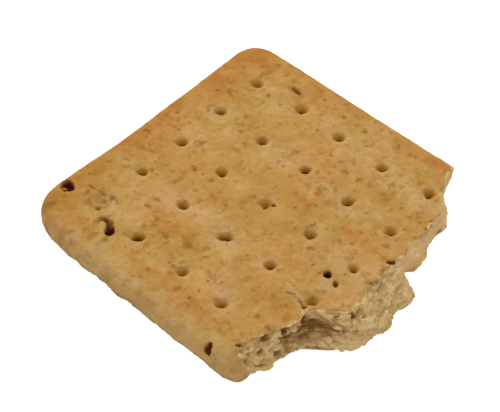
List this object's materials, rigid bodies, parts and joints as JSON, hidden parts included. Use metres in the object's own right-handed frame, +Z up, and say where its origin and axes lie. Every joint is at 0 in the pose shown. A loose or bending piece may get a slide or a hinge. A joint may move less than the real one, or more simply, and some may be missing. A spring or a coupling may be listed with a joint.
{
  "type": "hardtack",
  "caption": "Square slab of dry hardtack with round cut sides, a grid of docking holes in its browned top and one side broken off to the pale crumb.",
  "frame": {"origin": "middle of the biscuit's box, on the flat base that it lies on", "axes": "+Z up through the docked top crust, +X towards the broken side, +Y along the rows towards the far cut side"},
  "size_m": [0.0794, 0.0771, 0.0084],
  "materials": {
    "baked_crust": "matt baked flour crust, pale dry crumb at the break"
  },
  "bodies": {
    "root": {"hardtack": "baked_crust"}
  },
  "joints": []
}
